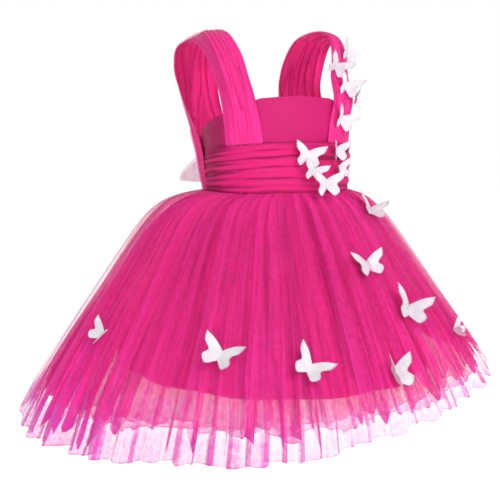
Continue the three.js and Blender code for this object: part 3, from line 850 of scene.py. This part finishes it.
def tulle_sheet(row):
    """One gathered sheet: folds that deepen towards the hem, whose flanks double back on themselves."""
    section, folds, seed, columns = row["section"], row["folds"], row["seed"], row["columns"]
    turn = (np.arange(columns) / columns)[None, :]
    angle = 2 * math.pi * turn

    # Where the folds lie round the skirt
    wide = folds // 4
    warp = 0.6 * ring_noise(turn, wide, seed) + 0.28 * ring_noise(turn, 2 * wide, seed + 1)
    phase = 2 * math.pi * (folds * turn + warp)
    slope = np.gradient(phase[0], 2 * math.pi / columns)[None, :]
    size = 0.75 + 0.8 * ring_noise(turn, folds, seed + 2)
    double = row["overlap"] * np.clip(0.45 + 1.1 * ring_noise(turn, folds // 2, seed + 3), 0, 1.3)

    # The hem
    at_hem, length = bunched_strips(turn, row)
    jag = row["jag"] * ring_noise(turn, 2 * folds, seed + 5)
    hem = hem_height(section, angle) + row["hem"] + jag - row["spike"] * at_hem**0.8 * length
    share = np.append(np.linspace(0, 1, SKIRT_ROWS - 1) ** 1.3 * RAW_EDGE["at"], 1)[:, None]
    depth = (WAIST["z"] - hem) * share
    grown = depth / FULL_DEPTH

    # The points
    lean = 0.06 * ring_noise(turn, 11, seed + 6) * grown**1.2
    ripple = 0.6 * noise(5 * grown + 7 * turn * folds, seed + 7)
    profile = np.cos(phase + ripple) + 0.35 * np.cos(2 * phase + 1.3 + 2 * ripple)
    fold = size * row["depth"] * (0.25 + 0.75 * grown**0.8) * profile
    fine = 0.7 * (0.6 * np.exp(-depth / 40) + 0.5 * grown) * np.cos(3.7 * phase + 1 + 3 * ripple)
    back = double * np.sin(2 * phase) / slope * smoothstep(grown, 0.05, 0.75)
    inset = row["inset"] * smoothstep(depth, 0, 30) - wave_depth(angle) * grown
    free = 0.25 + 0.75 * smoothstep(depth, 0, 8)
    grid = skirt_points(section, angle + lean + back, depth, (fold + fine) * free - inset)

    # Bunched strips of the cloth
    drift = 0.003 * ring_noise(turn, row["strips"] // 2, seed + 13) * (grown - 1)
    near, _ = bunched_strips((turn + drift) % 1, row)
    near = np.clip(1 - (1 - near) * (1 + 1.6 * smoothstep(grown, 0.6, 1)), 0, 1)
    strip = smoothstep(near, 0, 0.14) * (0.7 + 0.5 * np.exp(-(((near - 0.14) / 0.2) ** 2)))
    strip = strip * (0.2 + 0.8 * smoothstep(grown, 0.35, 0.9))

    # How pale and how dense the net is, past the hem of the layer behind and at the side seams
    behind = LINING if section is SHORT else SHORT
    below = (depth - (WAIST["z"] - hem_height(behind, angle))) / FULL_DEPTH
    alone = np.maximum(smoothstep(below, *row["alone"]), PALE_BASE * smoothstep(grown, 0.35, 0.95))
    crowd = (0.75 + 0.5 * np.exp(-depth / 45)) * (1 + row["hanging"] * smoothstep(below, -0.05, 0.02))
    crowd = crowd * (1 + SIDE_GATHERS * np.abs(np.sin(angle)) ** 3 * smoothstep(grown, 0.4, 0.9))
    gather = crowd * (1 + row["denser"] * strip) * (1 + 0.12 * ring_noise(turn, 3 * folds, seed + 8))
    gather = gather * (1 + RAW_EDGE["denser"] * (share == 1))

    # Painted shade: deep in the folds, beside their sharp edges and in the gathers under the waist seam
    strength = np.clip(0.5 + 1.3 * noise(turn * folds + 40, seed + 15), 0, 1.5)
    deep = 0.85 * np.clip(0.3 - 0.8 * profile, 0, 1) * strength
    laps = (phase + 0.8 * ripple) / (2 * math.pi)
    sharp = row["laps"] * np.clip(1.6 * scatter(np.floor(laps) % folds, seed + 16) - 0.2, 0, 1)
    edge = sharp * np.exp(-(laps % 1) / LAP_SHADE) * smoothstep(depth, 4, 40)
    gathers = 0.5 + 0.5 * noise(turn * 200 + 0.7 * grown, seed + 14)
    painted_shade = np.clip(0.02 + deep + edge + 1.1 * gathers**4 * np.exp(-depth / 90), 0, 1)

    piece = sheet_mesh(row["name"], grid, gather, painted_shade, True, alone)
    finish_piece(piece, row["material"], [row["node"]] if row["node"] else [])
    length = round(float((WAIST["z"] - section["hem"]) * MM * SLANT), 3)


# Bow

# gap: between the plies of a loop; corner, rounding: how far the upper and lower corners of its tip are
# cut; turn: how far the loop bends on each side of its tip
LOOP = {
    "start": 13.3, "start_y": 91.6, "reach": 93, "tip_y": 114, "tip_z": -173, "knot_height": 30,
    "tip_height": 52, "gap": 24, "corner": 35, "rounding": 11, "turn": math.radians(160),
}
# cap: share of a quarter turn that the barrel reaches towards its ends
KNOT = {"y": 84.6, "z": -166, "width": 26, "height": 36, "depth": 16, "cap": 0.96}


def bow_loop(word, side, seed):
    """A sheer loop from the knot out to its tip and back behind, pleated towards the knot."""
    turn = np.linspace(-LOOP["turn"], LOOP["turn"], 72)[None, :]
    up = np.linspace(1, -1, 44)[:, None]
    start = (1 + math.cos(LOOP["turn"])) / 2
    out = (1 + np.cos(turn)) / 2
    half = mix(LOOP["knot_height"], LOOP["tip_height"], np.sqrt(out)) / 2
    x = mix(LOOP["start"], LOOP["reach"], out - start)
    y = mix(LOOP["start_y"], LOOP["tip_y"], out) + LOOP["gap"] / 2 * np.sin(turn)
    droop = LOOP["corner"] * out**3 * (up + 1) / 2 - LOOP["rounding"] * out**3 * ((1 - up) / 2) ** 2
    z = mix(KNOT["z"], LOOP["tip_z"], out**1.5) + half * up - droop
    smooth = stack(side * x, y, z)
    fold = 1.8 * pleats((up + 1) / 2, out * 0.8, 7, seed, 0.4) * (1 - 0.5 * out)
    grid = smooth + side * normals(smooth) * fold[..., None]
    crest = pleats((up + 1) / 2, out, 7, seed, 0.4)
    gather = 0.8 + 0.35 * crest + 0.5 * (1 - out) ** 3
    # Painted shade between the pleats
    piece = sheet_mesh(f"bow_{word}_cloth", grid, gather, 0.6 - 0.6 * crest)
    finish_piece(piece, BOW_TULLE, ["bow_loop_" + word])


def squared(v):
    """Push a sine or cosine outwards, from round towards square."""
    return np.sign(v) * np.abs(v) ** 0.7


def bow_knot():
    """Knot of wrapped tulle: a soft barrel with upright wraps."""
    across, rows = 72, 36
    turn = np.linspace(0, 2 * math.pi, across, endpoint=False)[None, :]
    cap = math.pi / 2 * KNOT["cap"]
    rise = np.linspace(-cap, cap, rows)[:, None]
    wrap = 1 + 0.05 * np.abs(np.sin(9 * turn + 0.6 * np.sin(3 * rise))) - 0.04
    x = squared(np.cos(turn) * np.cos(rise)) * KNOT["width"] / 2 * wrap
    y = KNOT["y"] + squared(np.sin(turn) * np.cos(rise)) * KNOT["depth"] / 2 * wrap
    z = KNOT["z"] + squared(np.sin(rise) + 0 * turn) * KNOT["height"] / 2
    grid = stack(x, y, z)[::-1]
    points = np.concatenate([grid.reshape(-1, 3), grid[0].mean(0)[None], grid[-1].mean(0)[None]])
    faces = [tuple(q) for q in grid_faces(rows, across, True)]
    count = rows * across
    for i in range(across):
        right = (i + 1) % across
        faces.append((count, i, right))
        faces.append((count + 1, count - across + right, count - across + i))
    piece = make_mesh("knot_cloth", points, faces)
    set_uv(piece, points[:, [0, 2]])
    set_attribute(piece, "gather", np.full(len(points), 1))
    set_attribute(piece, "painted_shade", np.full(len(points), 0.3))
    finish_piece(piece, KNOT_TULLE, ["bow_knot"])


# Butterflies

# Span of both wings, points round one, its corners from the head end of the body, and which is its tip
SPAN = 49
WING_POINTS = 44
WING = [(0, 5), (11, 11.5), (24.5, 16), (21.5, 6.5), (13.5, -0.5), (17, -8.5), (10.5, -15), (0, -6)]
TIP = 2
# Tail and head of the body, thickness of the cloth, height of the tacking stitches
BODY_LINE = (-6, 5)
WING_THICK = 0.45
TACKED_AT = 0.7
# Curl of the tips, camber of the wings and depth of the crease along the body
WING_SHAPE = {"curl": 2.6, "camber": 1.3, "crease": 0.8}
# face: angle that a butterfly faces; turn: how far it is turned about that; lift: slope of its wings
STRAP_BUTTERFLIES = table(
    "along across face turn lift size",
    (0.342, 0.55, 22, -24, 28, 0.8),
    (0.305, 0.12, 0, -32, 32, 0.8),
    (0.255, 0.4, 8, -20, 34, 0.85),
    (0.222, 0.75, 35, -28, 44, 0.65),
    (0.167, 0.4, 14, -24, 36, 0.85),
)
WAIST_BUTTERFLIES = table(
    "angle z face turn lift size",
    (8, -149, -6, -12, 28, 0.92),
    (33, -145, 26, -2, 38, 0.78),
    (11, -168, 0, -16, 24, 0.72),
    (21, -182.5, 2, 0, 30, 0.95),
    (37, -168, 30, 20, 42, 0.72),
)
SKIRT_BUTTERFLIES = table(
    "angle z face turn lift size",
    (44, -221, 24, -30, 30, 0.95),
    (20.5, -276, 6, 6, 26, 1),
    (29.5, -328, 14, -28, 34, 1.25),
    (48, -364, 48, 40, 55, 0.75),
    (-71, -358, -64, -30, 42, 0.85),
    (-31, -364, -24, -24, 26, 1.1),
    (-9, -377, 0, -42, 28, 1.08),
    (15, -388, 30, -4, 50, 1.18),
)


def wing_outline():
    """Smooth outline of the right wing, from the head end of the body round to its tail."""
    t = np.linspace(0, 1, WING_POINTS // 2)
    leading = catmull([(*p, 0) for p in WING[: TIP + 1]], t[:-1])
    trailing = catmull([(*p, 0) for p in WING[TIP:]], np.linspace(0, 1, WING_POINTS - len(leading)))
    curve = np.concatenate([leading, trailing])[:, :2]
    curve[:, 0] = np.maximum(curve[:, 0], 0)
    return curve


def wing_grids(row, seed):
    """Each wing as a grid: rows run out from the body line, columns round the outline."""
    outline = wing_outline()
    lift = math.radians(row["lift"])
    share = np.linspace(0, 1, 8)[:, None]
    body_y = np.clip(outline[:, 1], *BODY_LINE)[None, :]
    x = outline[None, :, 0] * share
    y = body_y + (outline[None, :, 1] - body_y) * share
    reach = np.hypot(x, y * 0.4) / (SPAN / 2)
    curl = WING_SHAPE["curl"] * reach**2 * noise(np.array([seed * 1.7, seed * 2.3 + 9]), 3)[:, None, None]
    camber = WING_SHAPE["camber"] * np.sin(np.pi * np.clip(x / (SPAN / 2), 0, 1))
    camber = camber - WING_SHAPE["crease"] * np.exp(-(((y + 1) / 3) ** 2)) * (x > 3)
    wings = []
    for k, sign in enumerate((1, -1)):
        rise = x * math.sin(lift) + camber + curl[k] * sign
        wings.append(stack(sign * x * math.cos(lift), y, rise) * row["size"])
    return wings


def butterfly(place, row, base, normal, on, seed):
    """A cut cloth butterfly where its solid lies; returns the line of stitches down its middle."""
    node = "butterfly_" + place
    upward = unit(np.array([0, 0, 1.0]) - normal * normal[2])
    sideways = np.cross(upward, normal)
    turn = math.radians(row["turn"])
    right = sideways * math.cos(turn) + upward * math.sin(turn)
    ahead = -sideways * math.sin(turn) + upward * math.cos(turn)
    axes = np.array([right, ahead, normal])

    # Height over its seat at which the wings lie in the middle of the solid's box
    low, high = (np.array(c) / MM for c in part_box(node))
    lift = math.radians(row["lift"])
    corners = [[s * x * math.cos(lift), y, x * math.sin(lift)] for x, y in WING for s in (1, -1)]
    world = (np.array(corners) * row["size"]) @ axes
    centre = (world.min(0) + world.max(0)) / 2
    rise = float(((low + high) / 2 - centre - base) @ normal)
    origin = base + normal * rise

    points, faces = [], []
    for k, wing in enumerate(wing_grids(row, seed)):
        rows, columns = wing.shape[:2]
        out = normals(wing) * (1 if k == 0 else -1)
        for lower in (True, False):
            start = len(points)
            face = wing + out * (0 if lower else WING_THICK)
            points += list(face.reshape(-1, 3) @ axes + origin)
            faces += [tuple(q) for q in grid_faces(rows, columns, False, start, lower == (k == 0))]
        count = rows * columns
        first = len(points) - 2 * count
        for p, q in border_pairs(rows, columns, False):
            faces.append((first + p, first + q, first + count + q, first + count + p)[:: 1 if k == 0 else -1])
    points = np.array(points)
    piece = make_mesh("wings_" + place, points, faces)
    set_uv(piece, (points - origin) @ axes[:2].T)
    finish_piece(piece, BUTTERFLY_CLOTH, [node])
    line = np.array([[0, y * row["size"], TACKED_AT] for y in np.linspace(*BODY_LINE, 9)])
    return line @ axes + origin, np.tile(normal, (len(line), 1))


def body_direction(angle):
    return np.array([math.sin(math.radians(angle)), -math.cos(math.radians(angle)), 0])


def on_skirt(row):
    """Point of the long tulle at an angle and a height, and the direction that a butterfly on it faces."""
    depth = WAIST["z"] - row["z"]
    half_width, half_depth, _ = skirt_wall(LONG, depth)
    direction = body_direction(row["angle"])
    reach = 1 / math.hypot(direction[0] / half_width, direction[1] / half_depth)
    base = np.array([0, LONG["shift"], row["z"]]) + direction * reach
    steep = LONG["slope"] + LONG["flare"] / LONG["ease"] * math.exp(-depth / LONG["ease"])
    return base, unit(body_direction(row["face"]) + np.array([0, 0, steep]))


def on_sash(row):
    return on_body(np.array(row["angle"], float), row["z"], 0), body_direction(row["face"])


def on_strap(row):
    return strap_points([row["along"]], [row["across"]])[0, 0], body_direction(row["face"])


def butterflies():
    tacks = []
    for word, rows, place, on, seed in (
        ("strap", STRAP_BUTTERFLIES, on_strap, "strap_left", 1),
        ("waist", WAIST_BUTTERFLIES, on_sash, "sash_front", 11),
        ("skirt", SKIRT_BUTTERFLIES, on_skirt, "skirt_tulle_long", 21),
    ):
        for k, row in enumerate(rows):
            base, normal = place(row)
            tacks.append(butterfly(f"{word}_{k + 1}", row, base, normal, on, k + seed))
    stitches("stitches_butterflies", tacks, WHITE_THREAD)


# Stage, light and camera

FLOOR = {"z": -700, "half": 6000, "colour": (0.93, 0.93, 0.93), "roughness": 0.9, "glow": 0.62}
# Brightness of the studio on the dress and as it is seen
WORLD = {"light": 0.5, "seen": 1.0}
# Places and sizes in metres, power in watts
LIGHTS = table(
    "name place target size power",
    ("key", (0.3, -2.35, 1.2), (0, 0, -0.25), 1.6, 46),
    ("fill", (-1.3, -2.2, -0.1), (0, 0, -0.15), 1.6, 9),
    ("rim", (-0.8, 2.2, 1.4), (0, 0, -0.25), 1.6, 16),
)
CAMERA = {"place": (-540.4, -1484.7, -85.0), "turn": (83.316, 0, -18.836), "lens": 92.16, "sensor": 36}
# Sheer layers that light passes
SHEER_LAYERS = 48


def area_light(name, place, target, size, power):
    data = bpy.data.lights.new(name, "AREA")
    data.shape = "DISK"
    data.size = size
    data.energy = power
    light = add_object(name, data)
    light.location = place
    aim = np.array(target) - np.array(place)
    flat = math.hypot(aim[0], aim[1])
    light.rotation_euler = (math.atan2(flat, -aim[2]), 0, math.atan2(-aim[0], aim[1]))


def stage():
    """Pale floor, plain white surroundings and three soft lights."""
    half = FLOOR["half"]
    corners = [(-half, -half), (half, -half), (half, half), (-half, half)]
    points = np.array([(x, y, FLOOR["z"]) for x, y in corners], float)
    floor = make_mesh("floor", points, [(0, 1, 2, 3)], smooth=False)
    material, _, shader = new_material("pale_floor", FLOOR["colour"], FLOOR["roughness"], sheen=0)
    set_inputs(shader, Emission_Color=(1, 1, 1, 1), Emission_Strength=FLOOR["glow"])
    floor.data.materials.append(material)
    world = bpy.data.worlds.new("studio")
    bpy.context.scene.world = world
    world.use_nodes = True
    tree = world.node_tree
    background = tree.nodes["Background"]
    set_inputs(background, Color=(1, 1, 1, 1))
    rays = tree.nodes.new("ShaderNodeLightPath")
    brightness = remap(tree, rays.outputs["Is Camera Ray"], WORLD["light"], WORLD["seen"])
    tree.links.new(brightness, background.inputs["Strength"])
    for row in LIGHTS:
        area_light(**row)


def camera():
    data = bpy.data.cameras.new("camera")
    data.lens = CAMERA["lens"]
    data.sensor_width = CAMERA["sensor"]
    view = add_object("camera", data)
    view.location = [c * MM for c in CAMERA["place"]]
    view.rotation_euler = [math.radians(a) for a in CAMERA["turn"]]
    bpy.context.scene.camera = view


def build():
    for row in PANELS:
        bodice_panel(row)
    strap("left", 1, 101)
    strap("right", -1, 151)
    sash()
    lining()
    for row in TULLE_SHEETS:
        tulle_sheet(row)
    bow_loop("left", 1, 201)
    bow_loop("right", -1, 211)
    bow_knot()
    butterflies()
    stage()
    camera()
    bpy.context.scene.cycles.transparent_max_bounces = SHEER_LAYERS
    bpy.context.scene.view_settings.view_transform = "Standard"


build()
